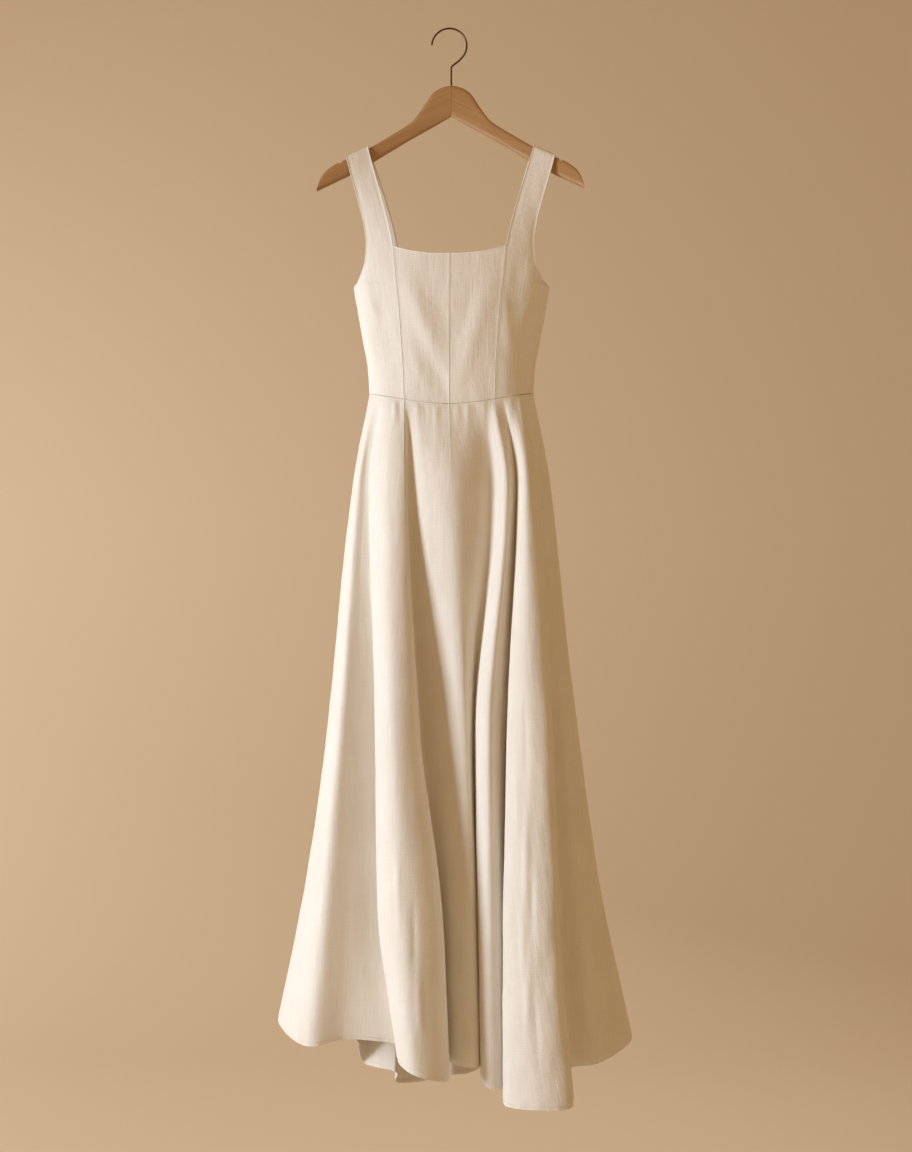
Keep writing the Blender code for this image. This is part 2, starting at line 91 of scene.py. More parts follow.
# Arm outline rows: x, top z, bottom z
ARM_OUTLINE = (
    (0.000, -0.0843, -0.1312),
    (0.013, -0.0875, -0.1388),
    (0.027, -0.0958, -0.1470),
    (0.044, -0.1203, -0.1570),
    (0.059, -0.1400, -0.1658),
    (0.074, -0.1510, -0.1750),
    (0.094, -0.1640, -0.1880),
    (0.1205, -0.1807, -0.2053),
    (0.1557, -0.1995, -0.2262),
    (0.167, -0.2052, -0.2322),
    (0.178, -0.2125, -0.2382),
    (0.1864, -0.2200, -0.2426),
    (0.1925, -0.2295, -0.2460),
    (0.196, -0.2388, -0.2478),
    (0.198, -0.2478, -0.2490),
)
# Stretches along the arm: from x, to x, number of stations, with more at the notch and the tip
ARM_STRETCHES = (
    (SEAM_GAP / 2, 0.155, 70),
    (0.1565, 0.176, 40),
    (0.178, 0.1945, 16),
    (0.1955, ARM_REACH, 12),
)
NOTCH_X = 0.1635
NOTCH_HALF = 0.0026
NOTCH_DEPTH = 0.0032
# How far the grain leans with x and y
GRAIN_SLOPE = 0.5
GRAIN_DEPTH = 0.3

# Hook: wire radius, radius of its centre line, ends of its round part in degrees
WIRE = 0.0014
HOOK_R = 0.0262
HOOK_TIP = 176
HOOK_END = -48
HOOK_POINTS = 64
STEM_TOP = -0.057
STEM_SHARES = (0, 0.3, 0.6, 1)
# The bend between round and stem: its shares of the way, and how far it leaves the straight line
RETURN_SHARES = (0.05, 0.95, 14)
RETURN_ROUNDNESS = 0.4

# Bodice rows from the waist up: z, half width, front depth, back depth
BODICE_SECTIONS = (
    (-0.5690, 0.1212, 0.0550, 0.0530),
    (-0.5485, 0.1222, 0.0555, 0.0530),
    (-0.5120, 0.1244, 0.0575, 0.0545),
    (-0.4720, 0.1315, 0.0605, 0.0560),
    (-0.4240, 0.1399, 0.0625, 0.0575),
    (-0.3880, 0.1459, 0.0620, 0.0575),
    (-0.3290, 0.1510, 0.0590, 0.0560),
)
BODICE_SQUARENESS = 0.20
# Princess seam rows: z, x
PRINCESS_SEAM = (
    (-0.5690, 0.0665),
    (-0.5120, 0.0680),
    (-0.4720, 0.0705),
    (-0.4240, 0.0738),
    (-0.3800, 0.0785),
    (-0.3345, 0.0828),
)
# Armhole edge rows: z, x
ARMHOLE = (
    (-0.3880, 0.1459),
    (-0.3845, 0.1385),
    (-0.3734, 0.1318),
    (-0.3535, 0.1255),
    (-0.3295, 0.1236),
)
# Half a seam gap as an angle on the section: by its half width, and by its depth at the side seam
SEAM_HALF_ANGLE = SEAM_GAP / 2 / 0.12
SIDE_HALF_ANGLE = SEAM_GAP / 2 / 0.06
WAIST_SEAM_X = 0.0665
WAIST_HALF_WIDTH = 0.1215
NECK_HALF_WIDTH = 0.0828
BUST_SHARE = 0.74
UNDERARM_Z = -0.3880
NECK_CORNER_Z = -0.3345
ARMHOLE_TOP_Z = -0.3295
FRONT_NECK_DROP = 0.0128
BACK_NECK_DROP = 0.0150
NECK_ROUNDNESS = 2.4
WAIST_SIDE_Z = -0.5485
FRONT_WAIST_DROP = 0.0190
BACK_WAIST_DROP = 0.0120
WAIST_ROUNDNESS = 1.6
# Share of a panel's height over which the princess seam leaves the skirt seam's x
SEAM_BLEND = 0.02

# Straps over the arms: x of both edges, clearance over the wood, angle where they touch down,
# half angle of the shoulder seam, how much of the bodice's slope they keep and over which step of
# the rows it is measured, and the back strap's shift towards the centre with its evenness
STRAP_INNER = 0.1225
STRAP_OUTER = 0.1546
STRAP_CLEARANCE = 0.0008
STRAP_TOUCH = 38
SHOULDER_HALF_ANGLE = 1.5
STRAP_EASE = 0.5
STRAP_SLOPE_STEP = 0.02
BACK_STRAP_SHIFT = 0.004
BACK_STRAP_EVENNESS = 4

# Skirt levels as shares of the drop from waist to hem, and its fold rows:
# name, x at the five levels, how far out at the last four, hem z
LEVELS = (0.0, 0.13, 0.5, 0.78, 1.0)
FRONT_FOLDS = (
    ("side_left", (-0.122, -0.146, -0.183, -0.219, -0.262), (0.000, 0.000, 0.000, 0.000), -1.489),
    ("a_crest", (-0.112, -0.135, -0.160, -0.182, -0.202), (0.030, 0.056, 0.076, 0.098), -1.500),
    ("a_slope", (-0.106, -0.127, -0.136, -0.145, -0.150), (0.028, 0.044, 0.060, 0.080), -1.494),
    ("ab_valley", (-0.101, -0.119, -0.108, -0.096, -0.056), (0.030, 0.030, 0.040, 0.078), -1.505),
    ("b_edge", (-0.096, -0.113, -0.107, -0.099, -0.068), (0.052, 0.076, 0.106, 0.150), -1.504),
    ("b_crest", (-0.084, -0.090, -0.078, -0.062, -0.042), (0.076, 0.104, 0.142, 0.184), -1.513),
    ("princess_left", (-0.0665, -0.064, -0.044, -0.010, 0.001), (0.078, 0.090, 0.124, 0.162), -1.527),
    ("bc_valley", (-0.061, -0.060, -0.046, -0.014, -0.002), (0.066, 0.040, 0.057, 0.092), -1.520),
    ("c_left", (-0.052, -0.032, -0.012, 0.005, 0.013), (0.079, 0.058, 0.079, 0.112), -1.520),
    ("centre_front", (0.000, 0.006, 0.023, 0.033, 0.040), (0.086, 0.071, 0.088, 0.119), -1.521),
    ("cd_slope", (0.030, 0.036, 0.0315, 0.0395, 0.0455), (0.075, 0.059, 0.078, 0.108), -1.522),
    ("cd_valley", (0.054, 0.061, 0.0355, 0.0415, 0.0475), (0.060, 0.043, 0.059, 0.092), -1.526),
    ("d_left", (0.060, 0.073, 0.042, 0.045, 0.050), (0.070, 0.074, 0.090, 0.120), -1.541),
    ("d_crest", (0.064, 0.085, 0.059, 0.060, 0.062), (0.080, 0.092, 0.106, 0.138), -1.545),
    ("princess_right", (0.0665, 0.089, 0.069, 0.070, 0.072), (0.073, 0.080, 0.100, 0.134), -1.547),
    ("de_valley", (0.078, 0.100, 0.087, 0.082, 0.083), (0.058, 0.056, 0.084, 0.118), -1.550),
    ("e_left", (0.083, 0.101, 0.086, 0.082, 0.082), (0.070, 0.088, 0.130, 0.176), -1.555),
    ("e_crest", (0.094, 0.112, 0.115, 0.118, 0.125), (0.084, 0.110, 0.154, 0.204), -1.552),
    ("e_right", (0.107, 0.128, 0.147, 0.156, 0.174), (0.072, 0.104, 0.150, 0.198), -1.550),
    ("f_valley", (0.112, 0.130, 0.147, 0.157, 0.172), (0.044, 0.046, 0.060, 0.086), -1.531),
    ("f_crest", (0.117, 0.137, 0.168, 0.192, 0.215), (0.028, 0.040, 0.058, 0.084), -1.523),
    ("side_right", (0.122, 0.146, 0.185, 0.224, 0.271), (0.000, 0.000, 0.000, 0.000), -1.510),
)
BACK_FOLDS = (
    ("p_crest", (0.112, 0.131, 0.168, 0.197, 0.233), (0.028, 0.044, 0.060, 0.084), -1.530),
    ("p_valley", (0.096, 0.110, 0.139, 0.160, 0.188), (0.036, 0.044, 0.054, 0.070), -1.541),
    ("q_crest", (0.081, 0.095, 0.118, 0.138, 0.158), (0.056, 0.078, 0.104, 0.142), -1.548),
    ("princess_back_right", (0.066, 0.075, 0.094, 0.107, 0.121), (0.052, 0.060, 0.076, 0.098), -1.560),
    ("r_crest", (0.046, 0.056, 0.071, 0.080, 0.088), (0.070, 0.094, 0.124, 0.158), -1.576),
    ("r_slope", (0.022, 0.026, 0.030, 0.030, 0.026), (0.066, 0.080, 0.100, 0.124), -1.602),
    ("centre_back", (0.000, 0.000, 0.000, -0.001, -0.004), (0.060, 0.064, 0.074, 0.090), -1.596),
    ("s_crest", (-0.026, -0.034, -0.044, -0.050, -0.052), (0.070, 0.090, 0.114, 0.138), -1.622),
    ("s_edge", (-0.050, -0.058, -0.072, -0.082, -0.091), (0.066, 0.080, 0.098, 0.118), -1.618),
    ("princess_back_left", (-0.066, -0.070, -0.078, -0.084, -0.090), (0.050, 0.052, 0.060, 0.074), -1.588),
    ("t_crest", (-0.083, -0.094, -0.112, -0.128, -0.143), (0.056, 0.074, 0.096, 0.118), -1.588),
    ("t_valley", (-0.097, -0.110, -0.134, -0.148, -0.156), (0.036, 0.040, 0.046, 0.056), -1.528),
    ("u_crest", (-0.112, -0.131, -0.167, -0.193, -0.222), (0.028, 0.044, 0.058, 0.078), -1.506),
)
# Share of the drop over which the round waist turns into the folds' own curve
WAIST_FADE = 0.1
# Gores: name, the seams that bound it, going round from the left side seam over the front
GORES = (
    ("skirt_front_side_left", "side_left", "princess_left"),
    ("skirt_front_centre_left", "princess_left", "centre_front"),
    ("skirt_front_centre_right", "centre_front", "princess_right"),
    ("skirt_front_side_right", "princess_right", "side_right"),
    ("skirt_back_side_right", "side_right", "princess_back_right"),
    ("skirt_back_centre_right", "princess_back_right", "centre_back"),
    ("skirt_back_centre_left", "centre_back", "princess_back_left"),
    ("skirt_back_side_left", "princess_back_left", "side_left"),
)

# Share of the drop at which each skirt seam is lost in the folds
SEAM_FADES = {
    "side_left": 0.60,
    "princess_left": 0.21,
    "centre_front": 0.10,
    "princess_right": 0.07,
    "side_right": 0.60,
    "princess_back_right": 0.16,
    "centre_back": 0.24,
    "princess_back_left": 0.14,
}
SEAM_FADE_SOFTNESS = 0.02

# Relief at seams: depth and reach of the dip, height and reach of the ripple beside it
SEAM_DIP = 0.0004
SEAM_REACH = 0.0012
SEAM_RIPPLE = 0.00022
SEAM_RIPPLE_REACH = 0.009
SEAM_RIPPLE_NOISE = ((0.010, 0.010, 0.006), 3.0)
# Relief at turned edges: the rolled-over edge, and the low crown of the turning inside it
EDGE_DIP = 0.0007
EDGE_REACH = 0.0010
EDGE_CROWN = 0.0002
EDGE_CROWN_AT = 0.004
EDGE_CROWN_REACH = 0.002
# Hem: height, rise and softness of its band, the stitches with their groove, and the pucker. The
# stitches stand off the cloth by a share of their radius.
HEM_BAND = 0.0065
HEM_RISE = 0.0008
HEM_SOFTNESS = 0.0005
STITCH_LINE = 0.0058
STITCH_PITCH = 0.0034
STITCH_LENGTH = 0.0022
STITCH_R = 0.0003
STITCH_LIFT = 0.6
STITCH_GROOVE = 0.0006
STITCH_GROOVE_REACH = 0.0009
HEM_PUCKER = 0.0008
HEM_PUCKER_REACH = 0.014
HEM_PUCKER_NOISE = ((0.0065, 0.0065, 0.05), 9.0)
# Extra rows of the mesh, by their distance above the hem
HEM_ROWS = (0.0044, 0.0052, 0.0058, 0.0064, 0.0076)

# Unevenness of the cloth: height, noise scale in x, y and z, noise shift. The kinks grow with a
# panel's own share, which rises down the two gores that the light grazes.
SWAY = (0.0011, (0.05, 0.05, 0.22), 1.0)
KINKS = (
    (0.00035, (0.014, 0.014, 0.060), 5.0),
    (0.00018, (0.006, 0.006, 0.020), 7.0),
)
PANEL_KINK = 0.8
LOW_KINK = 1.2
LOW_KINK_GORES = ("skirt_front_side_right", "skirt_back_side_left")
LOW_KINK_TOP = -0.9
LOW_KINK_DROP = 0.5
LATTICE_SIZE = 32
# Height above the neck corner at which the seam becomes the strap's free edge
CORNER_EASE = 0.002
# Stands for any distance beyond the relief's reach
FAR = 1.0

# Colours as linear red, green and blue, how much the threads count in the linen's tone, and the
# scale of the weave's waves
LINEN_DARK = (0.800, 0.745, 0.655)
LINEN_LIGHT = (0.872, 0.828, 0.755)
# Stitching thread: partly the thread's own tone, partly painted shade darkening the stitch line along the
# hem
THREAD_AND_SHADE_COLOUR = (0.64, 0.55, 0.43)
WOOD_DARK = (0.370, 0.185, 0.070)
WOOD_LIGHT = (0.500, 0.285, 0.125)
WIRE_DARK = (0.060, 0.036, 0.020)
WIRE_LIGHT = (0.200, 0.130, 0.080)
STAGE_COLOUR = (0.82, 0.73, 0.62)
ROOM_GLOW = (1.0, 0.62, 0.24)
ROOM_GLOW_STRENGTH = 0.37
ROOM_TONE = (0.50, 0.41, 0.30)
THREAD_TONE = 0.6
WEAVE_SCALE = 330

# Area lamps: name, place, the point they face, size, power, colour
AREA_LAMPS = (
    ("key", (-2.07, -1.10, -0.70), (0, 0, -0.85), (0.6, 1.4), 58, (0.79, 0.88, 1.0)),
    ("fill", (2.3, -2.7, -0.2), (0, 0, -0.8), (2.4, 2.4), 8.5, (1.0, 0.80, 0.64)),
    ("wall", (-3.7, 1.4, -0.6), (-1.7, 4.6, -0.7), (1.4, 2.4), 48, (1.0, 0.92, 0.80)),
    ("back", (0.9, 3.0, 0.2), (0, 0, -0.70), (1.6, 2.0), 18, (1.0, 0.92, 0.82)),
)
# Spot lamp on the shoulder: place, the point it faces, radius, cone in degrees, power, colour
SHOULDER_LAMP = ((1.1, -1.2, 0.0), (0.13, 0, -0.38), 0.25, 26, 7, (1.0, 0.88, 0.76))

# Distance below the waist seam over which a gather deepens, and how creases taper to their ends
GATHER_LEAD = 0.009
GATHER_TAPER = 1.5
CREASE_TAPER = 1.3
# Distance in y from the side seams within which creases die out
SIDE_CALM = 0.018

# Creases, listed one by one: side (-1 front, 1 back), x and z of both ends, half width, depth
# (minus is a trough), and whether it is a gather, deepest just below the waist seam
CREASES = (
    (-1, -0.104, -0.556, -0.110, -0.620, 0.0030, -0.0012, True),
    (-1, -0.081, -0.561, -0.081, -0.612, 0.0032, -0.0016, True),
    (-1, -0.074, -0.563, -0.070, -0.640, 0.0030, 0.0012, True),
    (-1, -0.047, -0.566, -0.046, -0.622, 0.0034, -0.0018, True),
    (-1, -0.036, -0.568, -0.033, -0.604, 0.0028, 0.0010, True),
    (-1, -0.020, -0.569, -0.018, -0.648, 0.0040, -0.0012, True),
    (-1, 0.012, -0.569, 0.012, -0.612, 0.0030, -0.0014, True),
    (-1, 0.027, -0.567, 0.025, -0.640, 0.0036, -0.0020, True),
    (-1, 0.038, -0.566, 0.040, -0.616, 0.0030, 0.0012, True),
    (-1, 0.050, -0.564, 0.052, -0.655, 0.0036, -0.0014, True),
    (-1, 0.088, -0.560, 0.095, -0.640, 0.0040, -0.0010, True),
    (-1, 0.103, -0.556, 0.110, -0.625, 0.0030, -0.0014, True),
    (1, -0.094, -0.553, -0.101, -0.622, 0.0034, -0.0014, True),
    (1, -0.060, -0.556, -0.060, -0.606, 0.0030, -0.0012, True),
    (1, -0.031, -0.559, -0.034, -0.634, 0.0036, 0.0014, True),
    (1, 0.014, -0.560, 0.013, -0.618, 0.0030, -0.0016, True),
    (1, 0.046, -0.558, 0.049, -0.646, 0.0036, 0.0012, True),
    (1, 0.079, -0.555, 0.086, -0.610, 0.0032, -0.0014, True),
    (-1, 0.098, -1.060, 0.101, -1.210, 0.0042, -0.0018, False),
    (-1, 0.110, -0.980, 0.112, -1.130, 0.0036, 0.0011, False),
    (-1, 0.114, -1.140, 0.110, -1.300, 0.0040, -0.0024, False),
    (-1, 0.122, -1.220, 0.119, -1.340, 0.0036, 0.0020, False),
    (-1, 0.106, -1.270, 0.111, -1.420, 0.0038, -0.0022, False),
    (-1, 0.118, -1.330, 0.112, -1.480, 0.0042, -0.0026, False),
    (-1, 0.128, -1.290, 0.126, -1.400, 0.0034, -0.0010, False),
    (-1, 0.124, -1.400, 0.130, -1.520, 0.0040, 0.0021, False),
    (-1, -0.072, -1.190, -0.066, -1.340, 0.0042, -0.0018, False),
    (-1, -0.048, -1.260, -0.044, -1.400, 0.0040, 0.0018, False),
    (-1, -0.040, -1.360, -0.034, -1.480, 0.0038, -0.0019, False),
    (1, 0.090, -1.180, 0.096, -1.340, 0.0042, -0.0014, False),
    (1, 0.150, -1.260, 0.160, -1.400, 0.0040, 0.0012, False),
    (1, -0.050, -1.240, -0.048, -1.420, 0.0042, -0.0014, False),
    (1, -0.140, -1.200, -0.150, -1.360, 0.0040, -0.0013, False),
    (-1, -0.116, -0.360, -0.084, -0.520, 0.0120, 0.0022, False),
    (-1, -0.134, -0.420, -0.108, -0.540, 0.0090, -0.0018, False),
    (-1, -0.125, -0.402, -0.098, -0.452, 0.0060, -0.0010, False),
    (-1, -0.070, -0.362, -0.006, -0.530, 0.0150, -0.0036, False),
    (-1, -0.048, -0.455, 0.004, -0.575, 0.0120, 0.0022, False),
    (-1, -0.056, -0.480, -0.036, -0.550, 0.0060, -0.0009, False),
    (-1, 0.066, -0.366, 0.008, -0.560, 0.0150, -0.0030, False),
    (-1, 0.034, -0.380, 0.022, -0.470, 0.0070, 0.0009, False),
    (-1, 0.108, -0.340, 0.086, -0.480, 0.0120, 0.0020, False),
    (-1, 0.082, -0.400, 0.088, -0.500, 0.0090, -0.0018, False),
    (-1, 0.134, -0.360, 0.112, -0.600, 0.0240, 0.0050, False),
    (-1, 0.126, -0.402, 0.104, -0.455, 0.0060, -0.0011, False),
    (-1, 0.118, -0.460, 0.096, -0.530, 0.0065, 0.0009, False),
    (1, -0.110, -0.380, -0.060, -0.500, 0.0130, -0.0026, False),
    (1, 0.112, -0.390, 0.066, -0.510, 0.0130, -0.0028, False),
    (1, 0.036, -0.400, 0.002, -0.540, 0.0140, -0.0022, False),
    (1, -0.030, -0.380, -0.044, -0.500, 0.0100, 0.0014, False),
)


def mix(a, b, share):
    return a + (b - a) * share


def curve_value(rows, column, where):
    """Value of a table's column at `where`, on the same smooth curve as the part's."""
    rows = sorted(rows, key=lambda row: row[0])
    keys = np.array([row[0] for row in rows], dtype=float)
    values = np.array([row[column] for row in rows], dtype=float)
    where = np.clip(np.asarray(where, dtype=float), keys[0], keys[-1])
    slopes = np.diff(values) / np.diff(keys)
    tangents = np.empty_like(values)
    tangents[0] = slopes[0]
    tangents[-1] = slopes[-1]
    product = slopes[:-1] * slopes[1:]
    total = slopes[:-1] + slopes[1:]
    total = np.where(product > 0, total, 1.0)
    tangents[1:-1] = np.where(product > 0, 2 * product / total, 0.0)
    here = np.clip(np.searchsorted(keys, where, side="right") - 1, 0, len(keys) - 2)
    span = keys[here + 1] - keys[here]
    f = (where - keys[here]) / span
    rise = f * f * (3 - 2 * f)
    lift = tangents[here] * f * (1 - f) ** 2 - tangents[here + 1] * f * f * (1 - f)
    return values[here] * (1 - rise) + values[here + 1] * rise + lift * span


# Bodice sections

def body_point(angle, z, back):
    """Point on the bodice's round section; angle 0 is the right side seam, pi / 2 the centre."""
    half_width = curve_value(BODICE_SECTIONS, 1, z)
    depth = curve_value(BODICE_SECTIONS, 3 if back else 2, z)
    c, s = np.cos(angle), np.sin(angle)
    x = half_width * c * (1 + BODICE_SQUARENESS * s * s)
    y = depth * s * (1 + BODICE_SQUARENESS * c * c)
    return np.stack(np.broadcast_arrays(x, y if back else -y, z), axis=-1)


def body_angle(x, z):
    """Angle at which the section at height z reaches x, found by halving."""
    half_width = curve_value(BODICE_SECTIONS, 1, z)
    low = np.zeros_like(half_width + x)
    high = low + math.pi / 2
    for _ in range(HALVINGS):
        middle = (low + high) / 2
        reach = half_width * np.cos(middle) * (1 + BODICE_SQUARENESS * np.sin(middle) ** 2)
        low = np.where(reach > x, middle, low)
        high = np.where(reach > x, high, middle)
    return (low + high) / 2


def waist_z(x, back):
    drop = BACK_WAIST_DROP if back else FRONT_WAIST_DROP
    share = np.minimum(np.abs(x) / WAIST_HALF_WIDTH, 1.0)
    return WAIST_SIDE_Z - drop * (1 - share ** WAIST_ROUNDNESS)


def neck_z(x, back):
    drop = BACK_NECK_DROP if back else FRONT_NECK_DROP
    share = np.minimum(np.abs(x) / NECK_HALF_WIDTH, 1.0)
    return NECK_CORNER_Z - drop * (1 - share ** NECK_ROUNDNESS)


def princess_x(z):
    return curve_value(PRINCESS_SEAM, 1, z)


def at_waist(angle, back, lift):
    x = body_point(angle, WAIST_SIDE_Z, back)[..., 0]
    return body_point(angle, waist_z(x, back) + lift, back)


def arm_point(x, angle, grown=0.0):
    """Point on the arm's rounded section; angle 0 is its back face, 90 its top, 180 its front."""
    top = curve_value(ARM_OUTLINE, 1, x)
    bottom = curve_value(ARM_OUTLINE, 2, x)
    sweep = -ARM_SWEEP * (x / ARM_REACH) ** ARM_SWEEP_POWER
    c, s = np.cos(np.radians(angle)), np.sin(np.radians(angle))
    power = 2 / ARM_SQUARENESS
    across = np.sign(c) * np.abs(c) ** power * (ARM_WOOD / 2 + grown)
    up = np.sign(s) * np.abs(s) ** power * ((top - bottom) / 2 + grown)
    return np.stack(np.broadcast_arrays(x, sweep + across, (top + bottom) / 2 + up), axis=-1)


def centre_rows(back):
    """Right centre panel: u from the centre seam to the princess seam, v from waist to neckline."""
    def surface(u, v):
        x_high = princess_x(NECK_CORNER_Z) * u
        middle = math.pi / 2 - SEAM_HALF_ANGLE
        waist = mix(middle, body_angle(WAIST_SEAM_X, WAIST_SIDE_Z) + SEAM_HALF_ANGLE, u)
        low = at_waist(waist, back, SEAM_GAP / 2)[..., 2]
        z = mix(low, neck_z(x_high, back), v)
        start = body_angle(WAIST_SEAM_X, WAIST_SIDE_Z)
        seam = mix(start, body_angle(princess_x(z), z), min(v / SEAM_BLEND, 1.0))
        return body_point(mix(middle, seam + SEAM_HALF_ANGLE, u), z, back)
    return surface


def side_rows(back):
    """Right side panel and strap, u from princess seam to side seam.

    v runs from 0 at the waist to 1 at the bust, 2 at the neck corner, 3 at the arm and 4 on top of it.
    """
    touch = STRAP_TOUCH if back else 180 - STRAP_TOUCH
    shoulder = 90 - SHOULDER_HALF_ANGLE if back else 90 + SHOULDER_HALF_ANGLE
    bust_z = mix(WAIST_SIDE_Z, NECK_CORNER_Z, BUST_SHARE)
    low_in = body_angle(WAIST_SEAM_X, WAIST_SIDE_Z) - SEAM_HALF_ANGLE

    def on_body(u, v):
        if v <= 1:
            low = at_waist(mix(low_in, SIDE_HALF_ANGLE, u), back, SEAM_GAP / 2)[..., 2]
            z = mix(low, mix(bust_z, UNDERARM_Z, u), v)
            z_in = mix(at_waist(low_in, back, SEAM_GAP / 2)[2], bust_z, v)
            z_out = UNDERARM_Z
        else:
            z_in = mix(bust_z, NECK_CORNER_Z, v - 1)
            z_out = mix(UNDERARM_Z, ARMHOLE_TOP_Z, v - 1)
            z = mix(z_in, z_out, u)
        inner = body_angle(princess_x(z_in), z_in) - SEAM_HALF_ANGLE
        inner = mix(low_in, inner, min(v / SEAM_BLEND, 1.0))
        edge = body_angle(curve_value(ARMHOLE, 1, z_out), z_out) if v > 1 else 0.0
        return body_point(mix(inner, np.maximum(edge, SIDE_HALF_ANGLE), u), z, back)

    def surface(u, v):
        if v <= 2:
            return on_body(u, v)
        x = mix(STRAP_INNER, STRAP_OUTER, u)
        grown = STRAP_CLEARANCE + CAD_CLOTH
        if v >= 3:
            return arm_point(x, mix(touch, shoulder, v - 3), grown)
        start = on_body(u, 2)
        end = arm_point(x, touch, grown)
        run = end - start
        length = np.linalg.norm(run, axis=-1, keepdims=True)
        rise = start - on_body(u, 2 - STRAP_SLOPE_STEP)
        rise = rise / np.linalg.norm(rise, axis=-1, keepdims=True) * length
        f = v - 2
        point = start + run * f + (rise - run) * (STRAP_EASE * f * (1 - f) ** 2)
        if back:
            point[..., 0] -= BACK_STRAP_SHIFT * (1 - (2 * f - 1) ** BACK_STRAP_EVENNESS)
        return point
    return surface


# Skirt

RING = FRONT_FOLDS + BACK_FOLDS
SEAM_AT = {row[0]: index for index, row in enumerate(RING)}
FRONT_LAST = len(FRONT_FOLDS) - 1


def waist_angle(index):
    name, across, _, _ = RING[index % len(RING)]
    if name == "side_right":
        return 0.0
    if name == "side_left":
        return math.pi
    angle = float(body_angle(abs(across[0]), WAIST_SIDE_Z))
    return angle if across[0] > 0 else math.pi - angle


def waist_span(index, f):
    """Points of the skirt's top edge between ring rows index and index + 1."""
    back = index % len(RING) >= FRONT_LAST
    angle = mix(waist_angle(index), waist_angle(index + 1), f)
    return at_waist(angle, back, -SEAM_GAP / 2)


def station(index, t):
    """Where a fold's row stands at every share in t of the drop from waist to hem."""
    index %= len(RING)
    _, across, forward, hem = RING[index]
    top = waist_span(index, 0.0)
    x = curve_value(tuple(zip(LEVELS, (top[0],) + across[1:])), 1, t)
    y = curve_value(tuple(zip(LEVELS, (abs(top[1]),) + forward)), 1, t)
    return np.stack([x, y if index > FRONT_LAST else -y, mix(top[2], hem, t)], axis=-1)


def spline_span(a, b, c, d, f):
    """Centripetal Catmull-Rom curve from b to c: rows by t, columns by f."""
    def knot(p, q):
        return np.maximum(np.linalg.norm(q - p, axis=-1), LEAST_CHORD) ** 0.5
    t1 = knot(a, b)[:, None, None]
    t2 = t1 + knot(b, c)[:, None, None]
    t3 = t2 + knot(c, d)[:, None, None]
    t = mix(t1, t2, f[None, :, None])
    a, b, c, d = (p[:, None, :] for p in (a, b, c, d))
    ab = a * ((t1 - t) / t1) + b * (t / t1)
    bc = b * ((t2 - t) / (t2 - t1)) + c * ((t - t1) / (t2 - t1))
    cd = c * ((t3 - t) / (t3 - t2)) + d * ((t - t2) / (t3 - t2))
    abc = ab * ((t2 - t) / t2) + bc * (t / t2)
    bcd = bc * ((t3 - t) / (t3 - t1)) + cd * ((t - t1) / (t3 - t1))
    return abc * ((t2 - t) / (t2 - t1)) + bcd * ((t - t1) / (t2 - t1))


def gore_points(first, last, t):
    """Dense points of a gore: a row for each share in t, from one seam to the next."""
    spans = []
    for index in range(first, last):
        f = np.arange(SPAN_SAMPLES + (index == last - 1)) / SPAN_SAMPLES
        corners = [station(index + k, t) for k in (-1, 0, 1, 2)]
        points = spline_span(*corners, f)
        start = spline_span(*(station(index + k, np.zeros(1)) for k in (-1, 0, 1, 2)), f)
        fade = np.clip(1 - t / WAIST_FADE, 0, 1)[:, None, None]
        points = points + (waist_span(index, f)[None] - start) * fade
        spans.append(points)
    return np.concatenate(spans, axis=1)


# Laying a panel out as an even grid with fine rows along its edges

def edge_positions(length, count):
    """Distances from 0 to length: fine steps at both ends, even steps between."""
    ends = np.array(EDGE_STEPS)
    between = np.linspace(ends[-1], length - ends[-1], count + 1)[1:-1]
    return np.concatenate([ends, between, length - ends[::-1]])


def along(points):
    steps = np.linalg.norm(np.diff(points, axis=-2), axis=-1)
    zero = np.zeros(steps.shape[:-1] + (1,))
    return np.concatenate([zero, np.cumsum(steps, axis=-1)], axis=-1)


def even_rows(dense, start, end):
    """Each dense row resampled at even distances, set in at both ends; returns points and distances."""
    lengths = along(dense)
    count = max(FEWEST_STEPS, round(lengths[:, -1].max() / GRID))
    rows = []
    places = []
    for row, length, inset, back_inset in zip(dense, lengths, start, end):
        place = edge_positions(length[-1] - inset - back_inset, count)
        rows.append(np.stack([np.interp(place + inset, length, row[:, k]) for k in range(3)], axis=-1))
        places.append(place)
    return np.array(rows), np.array(places)


def even_shares(surface, low, high):
    """Values of v between low and high at even distances down the panel's middle."""
    v = np.linspace(low, high, ROW_SAMPLES)
    middle = np.array([surface(np.array([0.5]), value)[0] for value in v])
    length = along(middle)
    count = max(FEWEST_STEPS, round(length[-1] / GRID))
    return np.interp(edge_positions(length[-1], count), length, v)


# Relief laid on the panels

LATTICE = np.random.default_rng(7).uniform(-1, 1, (LATTICE_SIZE,) * 3)


def cloth_noise(points, scale, shift=0.0):
    """Smooth noise of the place in space, with its own scale in x, y and z."""
    p = points / np.asarray(scale) + shift
    cell = np.floor(p).astype(int)
    f = p - cell
    f = f * f * f * (f * (f * 6 - 15) + 10)
    total = 0.0
    for corner in range(8):
        offset = np.array([(corner >> k) & 1 for k in range(3)])
        weight = np.prod(np.where(offset, f, 1 - f), axis=-1)
        i, j, k = np.moveaxis((cell + offset) % LATTICE_SIZE, -1, 0)
        total = total + LATTICE[i, j, k] * weight
    return total


def bell(distance):
    return np.exp(-distance ** 2)


def soft_step(value, edge, softness):
    """1 well below the edge and 0 well above it."""
    return 1 / (1 + np.exp((value - edge) / softness))


